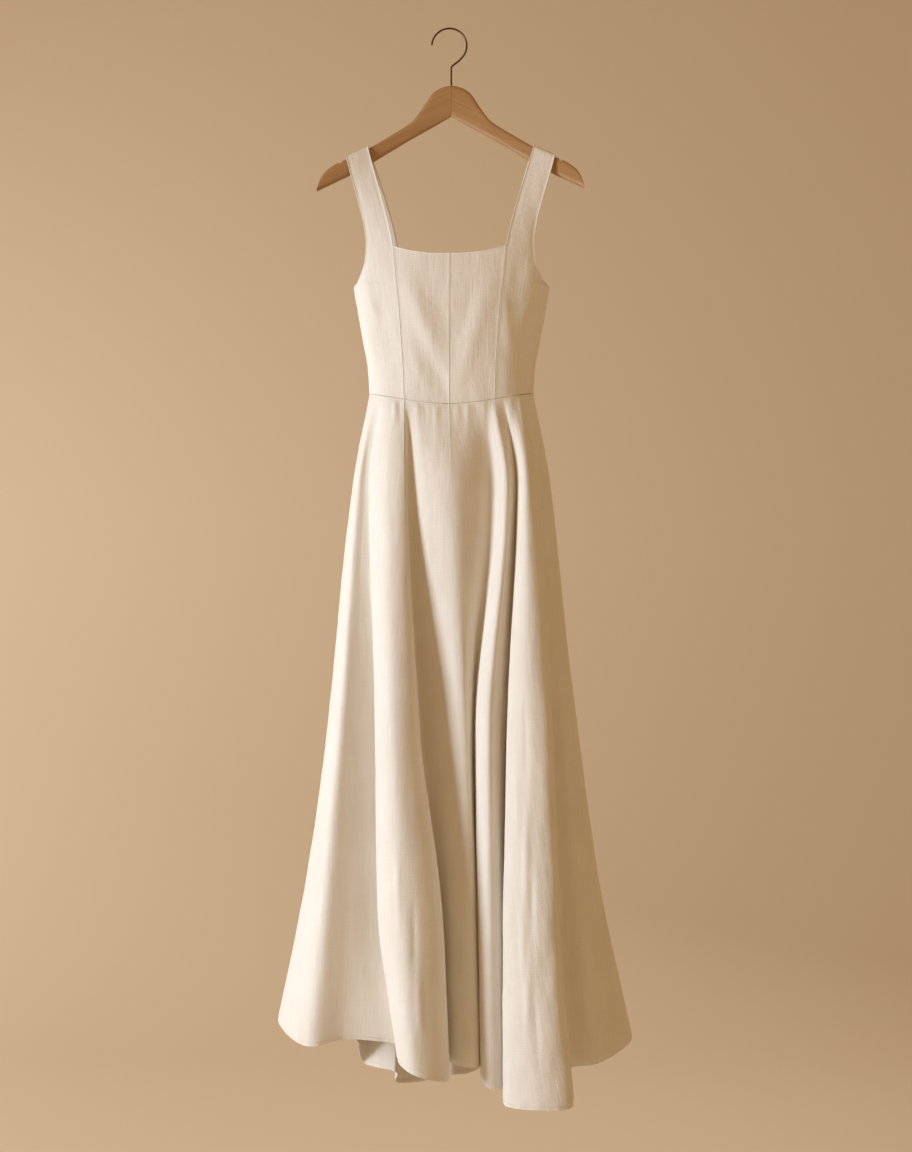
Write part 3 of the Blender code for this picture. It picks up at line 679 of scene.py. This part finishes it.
def crease_relief(points, facing):
    """Sum of the listed creases at these points of a front or back panel."""
    total = np.zeros(points.shape[:-1])
    x, z = points[..., 0], points[..., 2]
    for side, x0, z0, x1, z1, half_width, depth, gathered in CREASES:
        if side != facing:
            continue
        run = np.array([x1 - x0, z1 - z0])
        length = np.hypot(*run)
        share = ((x - x0) * run[0] + (z - z0) * run[1]) / length ** 2
        inside = np.clip(share, 0, 1)
        off = ((x - x0) * run[1] - (z - z0) * run[0]) / length
        if gathered:
            lead = np.clip(inside * length / GATHER_LEAD, 0, 1)
            taper = lead * (2 - lead) * (1 - inside) ** GATHER_TAPER
        else:
            taper = np.sin(math.pi * inside) ** CREASE_TAPER
        total += depth * taper * bell(off / half_width)
    return total * (1 - bell(points[..., 1] / SIDE_CALM))


def surface_normals(points):
    down = np.gradient(points, axis=0)
    across = np.gradient(points, axis=1)
    normals = np.cross(across, down)
    return normals / np.maximum(np.linalg.norm(normals, axis=-1, keepdims=True), LEAST_AREA)


def edge_distance(places):
    """Distance of every grid point from its row's start and end."""
    return places, places[:, -1:] - places


def relief(points, seams, free, facing, hem, kink):
    """How far each point moves out: seams, turned edges, hem, creases and the linen's unevenness."""
    total = crease_relief(points, facing)
    for distance, strength in seams:
        ripple = cloth_noise(points, *SEAM_RIPPLE_NOISE)
        total -= strength * SEAM_DIP * bell(distance / SEAM_REACH)
        total += strength * SEAM_RIPPLE * ripple * bell(distance / SEAM_RIPPLE_REACH)
    for distance in free:
        total -= EDGE_DIP * bell(distance / EDGE_REACH)
        total += EDGE_CROWN * bell((distance - EDGE_CROWN_AT) / EDGE_CROWN_REACH)
    if hem is not None:
        total += HEM_RISE * soft_step(hem, HEM_BAND, HEM_SOFTNESS)
        total -= STITCH_GROOVE * bell((hem - STITCH_LINE) / STITCH_GROOVE_REACH)
        pucker = cloth_noise(points, *HEM_PUCKER_NOISE)
        total += HEM_PUCKER * pucker * bell(hem / HEM_PUCKER_REACH)
    height, scale, shift = SWAY
    total += height * cloth_noise(points, scale, shift)
    for height, scale, shift in KINKS:
        total += height * kink * cloth_noise(points, scale, shift)
    return total


# Materials

def node(tree, kind, place, **values):
    item = tree.nodes.new(kind)
    item.location = place
    for name, value in values.items():
        setattr(item, name, value)
    return item


def new_material(name):
    """A material, its node tree and its shader."""
    material = bpy.data.materials.new(name)
    material.use_nodes = True
    return material, material.node_tree, material.node_tree.nodes["Principled BSDF"]


def math_node(tree, operation, place, a, b):
    item = node(tree, "ShaderNodeMath", place, operation=operation)
    for socket, value in zip(item.inputs, (a, b)):
        if isinstance(value, (int, float)):
            socket.default_value = value
        else:
            tree.links.new(value, socket)
    return item.outputs[0]


def two_tone_ramp(tree, source, place, low, high, dark, light):
    """Colour ramp from dark at the value low to light at the value high."""
    ramp = node(tree, "ShaderNodeValToRGB", place)
    for end, position, colour in zip(ramp.color_ramp.elements, (low, high), (dark, light)):
        end.position = position
        end.color = (*colour, 1)
    tree.links.new(source, ramp.inputs[0])
    return ramp.outputs[0]


def bump_node(tree, height, place, strength, distance):
    bump = node(tree, "ShaderNodeBump", place)
    bump.inputs["Strength"].default_value = strength
    bump.inputs["Distance"].default_value = distance
    tree.links.new(height, bump.inputs["Height"])
    return bump


def stretched_noise(tree, source, scale, detail, place, roughness=0.5):
    mapping = node(tree, "ShaderNodeMapping", place)
    mapping.inputs["Scale"].default_value = scale
    tree.links.new(source, mapping.inputs["Vector"])
    noise = node(tree, "ShaderNodeTexNoise", (place[0] + 200, place[1]))
    noise.inputs["Scale"].default_value = 1.0
    noise.inputs["Detail"].default_value = detail
    noise.inputs["Roughness"].default_value = roughness
    tree.links.new(mapping.outputs[0], noise.inputs["Vector"])
    return noise.outputs[0]


def linen_material(name):
    """Plain-woven linen: thread bump, long slubs both ways, faint clouding, matt with a soft sheen."""
    material, tree, shader = new_material(name)
    shader.inputs["Roughness"].default_value = 0.88
    shader.inputs["Specular IOR Level"].default_value = 0.25
    shader.inputs["Sheen Weight"].default_value = 0.12
    shader.inputs["Sheen Roughness"].default_value = 0.5
    uv = node(tree, "ShaderNodeUVMap", (-1500, 0), uv_map="cloth").outputs[0]
    warp = stretched_noise(tree, uv, (1100, 22, 1), 2, (-1300, 400))
    weft = stretched_noise(tree, uv, (26, 1000, 1), 2, (-1300, 150))
    cloud = stretched_noise(tree, uv, (22, 12, 1), 3, (-1300, -100))
    streak = stretched_noise(tree, uv, (340, 15, 1), 3, (-1300, -350), 0.6)
    crinkle = stretched_noise(tree, uv, (85, 26, 1), 3, (-1300, -600), 0.55)
    threads = math_node(tree, "ADD", (-850, 300), warp, weft)
    wide = math_node(tree, "ADD", (-850, -150), cloud, streak)
    fine_tone = math_node(tree, "MULTIPLY", (-850, 150), threads, THREAD_TONE)
    tone = math_node(tree, "ADD", (-700, 100), fine_tone, wide)
    scaled = math_node(tree, "MULTIPLY", (-600, 300), tone, 1 / (2 + 2 * THREAD_TONE))
    colour = two_tone_ramp(tree, scaled, (-520, 100), 0.38, 0.62, LINEN_DARK, LINEN_LIGHT)
    tree.links.new(colour, shader.inputs["Base Color"])
    weave_u = node(tree, "ShaderNodeTexWave", (-1100, -650), bands_direction="X")
    weave_v = node(tree, "ShaderNodeTexWave", (-1100, -900), bands_direction="Y")
    for wave in (weave_u, weave_v):
        wave.inputs["Scale"].default_value = WEAVE_SCALE
        wave.inputs["Distortion"].default_value = 1.2
        wave.inputs["Detail"].default_value = 1
        wave.inputs["Detail Scale"].default_value = 0.6
        tree.links.new(uv, wave.inputs["Vector"])
    weave = math_node(tree, "MULTIPLY", (-850, -700), weave_u.outputs["Fac"], weave_v.outputs["Fac"])
    low_weave = math_node(tree, "MULTIPLY", (-800, -500), weave, 0.35)
    height = math_node(tree, "ADD", (-650, -500), low_weave, threads)
    low_streak = math_node(tree, "MULTIPLY", (-950, -900), streak, 0.35)
    uneven = math_node(tree, "ADD", (-800, -800), crinkle, low_streak)
    bump = bump_node(tree, height, (-400, -400), 0.5, 0.0007)
    folds = bump_node(tree, uneven, (-600, -700), 0.5, 0.0014)
    tree.links.new(folds.outputs[0], bump.inputs["Normal"])
    tree.links.new(bump.outputs[0], shader.inputs["Normal"])
    return material


def wood_material(name):
    """Light beech: grain along the arm, fine pores, satin lacquer."""
    material, tree, shader = new_material(name)
    shader.inputs["Roughness"].default_value = 0.42
    shader.inputs["Coat Weight"].default_value = 0.04
    shader.inputs["Coat Roughness"].default_value = 0.25
    uv = node(tree, "ShaderNodeUVMap", (-1500, 0), uv_map="grain").outputs[0]
    grain = stretched_noise(tree, uv, (9, 300, 1), 4, (-1200, 200), 0.6)
    wide = stretched_noise(tree, uv, (5, 70, 1), 3, (-1200, -50))
    pores = stretched_noise(tree, uv, (120, 2200, 1), 2, (-1200, -300))
    fine_tone = math_node(tree, "MULTIPLY", (-950, 150), grain, 0.6)
    wide_tone = math_node(tree, "MULTIPLY", (-950, 0), wide, 0.4)
    tone = math_node(tree, "ADD", (-800, 100), fine_tone, wide_tone)
    colour = two_tone_ramp(tree, tone, (-600, 100), 0.32, 0.70, WOOD_DARK, WOOD_LIGHT)
    tree.links.new(colour, shader.inputs["Base Color"])
    height = math_node(tree, "ADD", (-700, -300), grain, pores)
    bump = bump_node(tree, height, (-400, -300), 0.25, 0.0003)
    tree.links.new(bump.outputs[0], shader.inputs["Normal"])
    return material


def wire_material(name):
    """Bronzed steel wire, lightly brushed along its length."""
    material, tree, shader = new_material(name)
    shader.inputs["Metallic"].default_value = 1.0
    place = node(tree, "ShaderNodeTexCoord", (-1100, 0)).outputs["Object"]
    noise = stretched_noise(tree, place, (900, 900, 60), 3, (-900, 0))
    colour = two_tone_ramp(tree, noise, (-400, 150), 0.0, 1.0, WIRE_DARK, WIRE_LIGHT)
    tree.links.new(colour, shader.inputs["Base Color"])
    brushing = math_node(tree, "MULTIPLY", (-550, -100), noise, 0.2)
    rough = math_node(tree, "ADD", (-400, -100), brushing, 0.24)
    tree.links.new(rough, shader.inputs["Roughness"])
    return material


def plain_material(name, colour, roughness):
    material, _, shader = new_material(name)
    shader.inputs["Base Color"].default_value = (*colour, 1)
    shader.inputs["Roughness"].default_value = roughness
    shader.inputs["Specular IOR Level"].default_value = 0.2
    return material


# Building pieces

def grid_mesh(name, points, uv, uv_name, closed=False, flip=False):
    """Mesh of a grid of points, closed round its columns or open, with its own coordinates."""
    rows, columns = points.shape[:2]
    wrap = columns if closed else columns - 1
    j, i = np.meshgrid(np.arange(rows - 1), np.arange(wrap), indexing="ij")
    n = (i + 1) % columns
    corners = np.stack([j * columns + i, j * columns + n, (j + 1) * columns + n, (j + 1) * columns + i], -1)
    corners = corners.reshape(-1, 4)
    if flip:
        corners = corners[:, ::-1]
    data = bpy.data.meshes.new(name)
    data.from_pydata(points.reshape(-1, 3).tolist(), [], corners.tolist())
    layer = data.uv_layers.new(name=uv_name)
    flat = uv.reshape(-1, 2)[corners.reshape(-1)]
    layer.data.foreach_set("uv", flat.reshape(-1).astype(np.float32))
    data.shade_smooth()
    return data


def add_piece(name, data, material, slot, *nodes):
    item = bpy.data.objects.new(name, data)
    item.data.materials.append(material)
    bpy.context.scene.collection.objects.link(item)
    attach(item, "root")
    if nodes:
        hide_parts(*nodes)
    return item


def add_panel(name, points, places, seams, free, facing, hem, kink, outward, middle, material):
    """One cut piece of cloth as a thin shell with its relief.

    outward tells which way it faces, middle at which share of its width its grain is straight.
    """
    normals = surface_normals(points) * outward
    amount = relief(points, seams, free, facing, hem, kink)
    moved = points + normals * amount[..., None]
    moved[..., 0] += GARMENT_X
    down = along(np.swapaxes(points, 0, 1)).T
    uv = np.stack([places - places[:, -1:] * middle, -down], axis=-1)
    data = grid_mesh(name, moved, uv, "cloth", flip=outward < 0)
    item = add_piece(f"cloth_{name}", data, material, "linen", name)
    shell = item.modifiers.new("wall", "SOLIDIFY")
    shell.thickness = CLOTH
    shell.offset = -1.0
    return moved, normals


def bodice(material):
    for place, back in (("front", False), ("back", True)):
        facing = 1 if back else -1
        for part, surface, top in (("centre", centre_rows(back), 1), ("side", side_rows(back), 4)):
            shares = even_shares(surface, 0, top)
            u = np.linspace(0, 1, PANEL_SAMPLES)
            dense = np.array([surface(u, v) for v in shares])
            flush = np.zeros(len(shares))
            points, places = even_rows(dense, flush, flush)
            height = along(np.swapaxes(points, 0, 1)).T
            near, far = edge_distance(places)
            from_top = height[-1:] - height
            if part == "centre":
                seams = [(near, 1.0), (far, 1.0), (height, 1.0)]
                free = [from_top]
            else:
                corner = points[..., 2] > NECK_CORNER_Z + CORNER_EASE
                under = points[..., 2] > UNDERARM_Z
                seams = [(near, 1.0 - corner), (far, 1.0 - under), (height, 1.0), (from_top, 1.0)]
                free = [np.where(corner, near, FAR), np.where(under, far, FAR)]
            for hand, turn in (("right", 1), ("left", -1)):
                placed = points * np.array([turn, 1, 1])
                name = f"bodice_{place}_{part}_{hand}"
                add_panel(
                    name, placed, places, seams, free, facing, hem=None, kink=PANEL_KINK,
                    outward=facing * turn, middle=0.0, material=material,
                )


def skirt(material):
    hem_lines = []
    for name, seam_a, seam_b in GORES:
        first = SEAM_AT[seam_a]
        last = SEAM_AT[seam_b]
        if last <= first:
            last += len(RING)
        shares = edge_positions(GORE_LENGTH, round(GORE_LENGTH / GRID)) / GORE_LENGTH
        shares = np.sort(np.append(shares, 1 - np.array(HEM_ROWS) / GORE_LENGTH))
        strong = [soft_step(shares, SEAM_FADES[seam], SEAM_FADE_SOFTNESS) for seam in (seam_a, seam_b)]
        dense = gore_points(first, last, shares)
        points, places = even_rows(dense, strong[0] * SEAM_GAP / 2, strong[1] * SEAM_GAP / 2)
        down = along(np.swapaxes(points, 0, 1)).T
        hem = down[-1:] - down
        near, far = edge_distance(places)
        facing = -1 if "front" in name else 1
        low = np.clip((LOW_KINK_TOP - points[..., 2]) / LOW_KINK_DROP, 0, 1)
        kink = PANEL_KINK + LOW_KINK * low * (name in LOW_KINK_GORES)
        seams = [(near, strong[0][:, None]), (far, strong[1][:, None]), (down, 1.0)]
        moved, normals = add_panel(
            name, points, places, seams, [], facing, hem=hem, kink=kink,
            outward=1, middle=0.5, material=material,
        )
        hem_lines.append((moved, normals, hem))
    return hem_lines


def point_at(distance, length, line):
    """Point at this distance along a line of points."""
    return np.array([np.interp(distance, length, line[:, axis]) for axis in range(3)])


def hem_stitching(hem_lines, material):
    """One row of small stitches along the hem, each a short four-sided lozenge on the cloth."""
    verts = []
    faces = []
    for moved, normals, hem in hem_lines:
        row = int(np.argmin(np.abs(hem[:, hem.shape[1] // 2] - STITCH_LINE)))
        line = moved[row]
        out = normals[row]
        length = along(line)
        centres = np.arange(STITCH_PITCH, length[-1] - STITCH_PITCH / 2, STITCH_PITCH)
        for centre in centres:
            start = point_at(centre - STITCH_LENGTH / 2, length, line)
            end = point_at(centre + STITCH_LENGTH / 2, length, line)
            normal = point_at(centre, length, out)
            normal /= np.linalg.norm(normal)
            side = np.cross(normal, (end - start) / np.linalg.norm(end - start))
            middle = point_at(centre, length, line) + normal * STITCH_R * STITCH_LIFT
            base = len(verts)
            verts.append(start)
            verts += [middle + way * STITCH_R for way in (side, normal, -side, -normal)]
            verts.append(end)
            for k in range(4):
                n = (k + 1) % 4
                faces.append((base, base + 1 + n, base + 1 + k))
                faces.append((base + 5, base + 1 + k, base + 1 + n))
    data = bpy.data.meshes.new("hem_stitching")
    data.from_pydata([tuple(v) for v in verts], [], faces)
    return add_piece("hem_stitching", data, material, "linen")


def hanger_arms(material):
    """The wooden halves with their strap notches, finer than the part's and of the same form."""
    for hand, side in (("right", 1), ("left", -1)):
        x = np.concatenate([np.linspace(*stretch) for stretch in ARM_STRETCHES])
        turn = 360 * (np.arange(ARM_SIDES) + 0.5) / ARM_SIDES
        points = arm_point(x[:, None], turn[None, :])
        cut = np.clip(1 - ((x - NOTCH_X) / NOTCH_HALF) ** 2, 0, 1) ** 0.5 * NOTCH_DEPTH
        top = curve_value(ARM_OUTLINE, 1, x)
        points[..., 2] = np.minimum(points[..., 2], (top - cut)[:, None])
        points[..., 0] *= side
        points[..., 0] += GARMENT_X
        down = np.repeat(np.hypot(x, top)[:, None], ARM_SIDES, axis=1)
        across = points[..., 2] + GRAIN_SLOPE * np.abs(points[..., 0]) + GRAIN_DEPTH * points[..., 1]
        uv = np.stack([down * side, across], axis=-1)
        mesh = grid_mesh(f"arm_{hand}", points, uv, "grain", closed=True, flip=side > 0)
        shape = bmesh.new()
        shape.from_mesh(mesh)
        bmesh.ops.holes_fill(shape, edges=[e for e in shape.edges if e.is_boundary], sides=0)
        bmesh.ops.recalc_face_normals(shape, faces=shape.faces)
        shape.to_mesh(mesh)
        shape.free()
        mesh.set_sharp_from_angle(angle=math.radians(ARM_SHARP_ANGLE))
        add_piece(f"wood_arm_{hand}", mesh, material, "hanger_wood", f"hanger_arm_{hand}")


def hook(material):
    centre_z = WIRE - HOOK_R
    points = []
    for angle in np.radians(np.linspace(HOOK_TIP, HOOK_END, HOOK_POINTS)):
        points.append((HOOK_R * math.cos(angle), centre_z + HOOK_R * math.sin(angle)))
    end_x, end_z = points[-1]
    for share in np.linspace(*RETURN_SHARES):
        bend = mix(share, share * share * (3 - 2 * share), RETURN_ROUNDNESS)
        points.append((mix(end_x, GARMENT_X, bend), mix(end_z, STEM_TOP, share)))
    foot = ARM_OUTLINE[0][1] + SEAM_GAP
    points += [(GARMENT_X, mix(STEM_TOP, foot, share)) for share in STEM_SHARES]
    data = bpy.data.curves.new("wire_hook", "CURVE")
    data.dimensions = "3D"
    data.bevel_depth = WIRE
    data.bevel_resolution = 5
    data.use_fill_caps = True
    wire = data.splines.new("POLY")
    wire.points.add(len(points) - 1)
    for spot, (x, z) in zip(wire.points, points):
        spot.co = (x, 0.0, z, 1.0)
    wire.use_smooth = True
    add_piece("wire_hook", data, material, "hook_steel", "hanger_hook")


# Stage, light and camera

def stage():
    """Pale floor that curves up into a backdrop well behind the dress."""
    profile = [(-FLOOR_REACH, 0.0), (WALL_Y - COVE, 0.0)]
    for angle in np.linspace(*COVE_ANGLES):
        profile.append((WALL_Y - COVE + COVE * math.sin(angle), COVE - COVE * math.cos(angle)))
    profile.append((WALL_Y, WALL_HEIGHT))
    points = np.array([[(x, y, FLOOR_Z + z) for y, z in profile] for x in (-FLOOR_REACH, FLOOR_REACH)])
    data = grid_mesh("backdrop", points, points[..., :2], "stage")
    item = bpy.data.objects.new("backdrop", data)
    item.data.materials.append(plain_material("backdrop", STAGE_COLOUR, roughness=0.95))
    bpy.context.scene.collection.objects.link(item)


def add_lamp(lamp, place, target, energy, colour):
    lamp.energy = energy
    lamp.color = colour
    item = bpy.data.objects.new(lamp.name, lamp)
    item.location = place
    item.rotation_euler = (Vector(target) - Vector(place)).to_track_quat("-Z", "Y").to_euler()
    bpy.context.scene.collection.objects.link(item)


def lamps():
    for name, place, target, size, energy, colour in AREA_LAMPS:
        lamp = bpy.data.lights.new(name, "AREA")
        lamp.shape = "RECTANGLE"
        lamp.size, lamp.size_y = size
        add_lamp(lamp, place, target, energy, colour)
    place, target, radius, cone, energy, colour = SHOULDER_LAMP
    shoulder = bpy.data.lights.new("shoulder", "SPOT")
    shoulder.shadow_soft_size = radius
    shoulder.spot_size = math.radians(cone)
    shoulder.spot_blend = 1.0
    add_lamp(shoulder, place, target, energy, colour)


def room():
    """Dim warm light from all round; seen itself, the room is a plain pale tone."""
    world = bpy.data.worlds.new("room")
    world.use_nodes = True
    tree = world.node_tree
    glow = tree.nodes["Background"]
    glow.inputs[0].default_value = (*ROOM_GLOW, 1)
    glow.inputs[1].default_value = ROOM_GLOW_STRENGTH
    seen = node(tree, "ShaderNodeBackground", (0, -150))
    seen.inputs[0].default_value = (*ROOM_TONE, 1)
    choice = node(tree, "ShaderNodeMixShader", (200, 0))
    rays = node(tree, "ShaderNodeLightPath", (0, 200))
    tree.links.new(rays.outputs["Is Camera Ray"], choice.inputs[0])
    tree.links.new(glow.outputs[0], choice.inputs[1])
    tree.links.new(seen.outputs[0], choice.inputs[2])
    tree.links.new(choice.outputs[0], tree.nodes["World Output"].inputs[0])
    bpy.context.scene.world = world
    bpy.context.scene.view_settings.view_transform = "Standard"


def camera():
    lens = bpy.data.cameras.new("camera")
    lens.sensor_fit = "VERTICAL"
    lens.sensor_height = SENSOR_HEIGHT
    lens.lens = SENSOR_HEIGHT * CAMERA_DISTANCE / (PHOTO_HEIGHT * METRES_PER_PIXEL)
    item = bpy.data.objects.new("camera", lens)
    offset = Vector((math.sin(CAMERA_AZIMUTH), -math.cos(CAMERA_AZIMUTH), 0))
    item.location = CAMERA_CENTRE + offset * CAMERA_DISTANCE
    item.rotation_euler = (math.pi / 2, 0, CAMERA_AZIMUTH)
    bpy.context.scene.collection.objects.link(item)
    bpy.context.scene.camera = item


def main():
    camera()
    lamps()
    room()
    stage()
    linen = linen_material("linen")
    bodice(linen)
    hem_lines = skirt(linen)
    # The stitches' colour carries painted shade for the stitch line's groove as well as the thread's own
    # tone
    hem_stitching(hem_lines, plain_material("linen_thread_painted_shade", THREAD_AND_SHADE_COLOUR, roughness=0.8))
    hanger_arms(wood_material("hanger_wood"))
    hook(wire_material("hook_steel"))


main()
